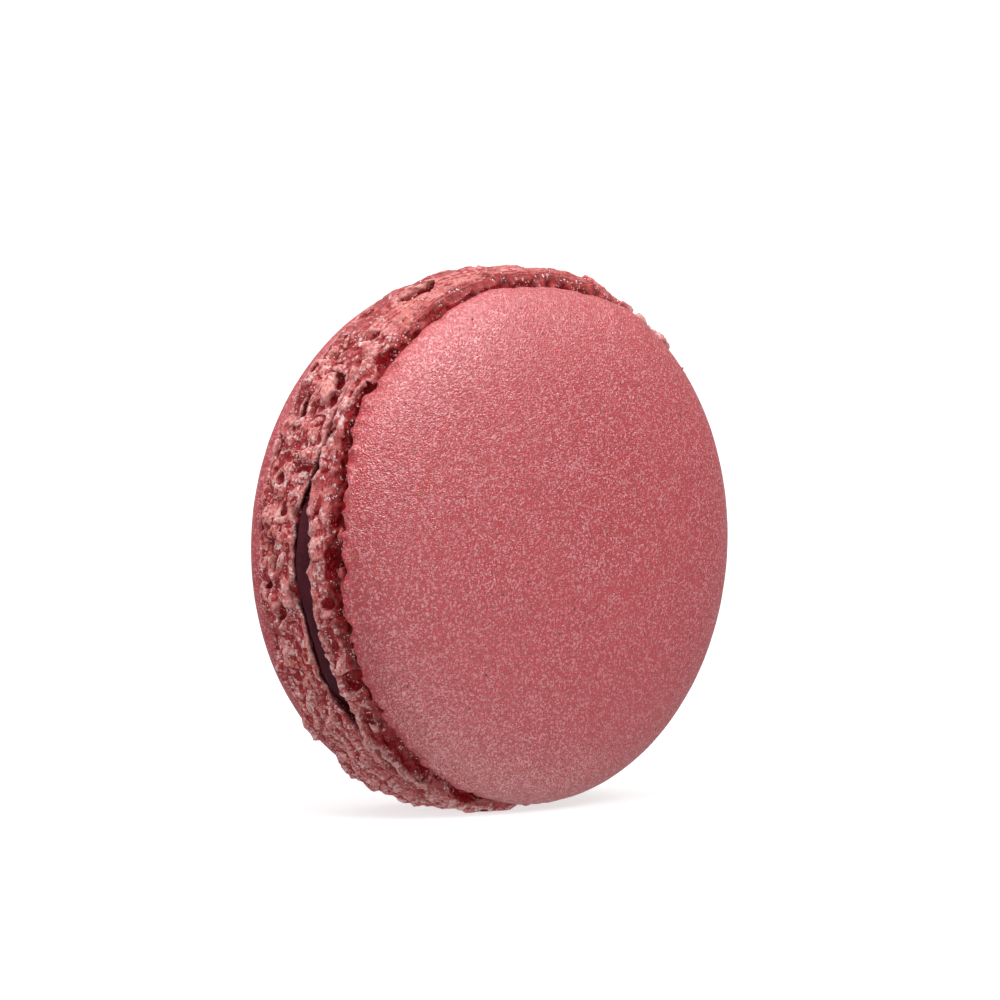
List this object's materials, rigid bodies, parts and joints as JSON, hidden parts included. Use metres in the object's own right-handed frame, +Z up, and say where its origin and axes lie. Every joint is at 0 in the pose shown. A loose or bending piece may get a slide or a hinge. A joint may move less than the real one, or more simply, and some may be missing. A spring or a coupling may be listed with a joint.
{
  "type": "macaron",
  "caption": "Round sandwich macaron that stands on its edge: two smooth domed almond shells with craggy feet and a thin dark filling.",
  "frame": {"origin": "on the floor, under the middle of the macaron's outline", "axes": "+Z up, +Y along the round axis from the front cap to the back cap, +X across the face"},
  "size_m": [0.0449, 0.0215, 0.0451],
  "materials": {
    "baked_shell": "baked almond meringue, raspberry pink, satin and finely pored on the caps, rough and crumbly on the feet",
    "dark_filling": "dark berry filling, soft satin"
  },
  "bodies": {
    "root": {"front_shell": "baked_shell", "back_shell": "baked_shell", "filling": "dark_filling"}
  },
  "joints": []
}
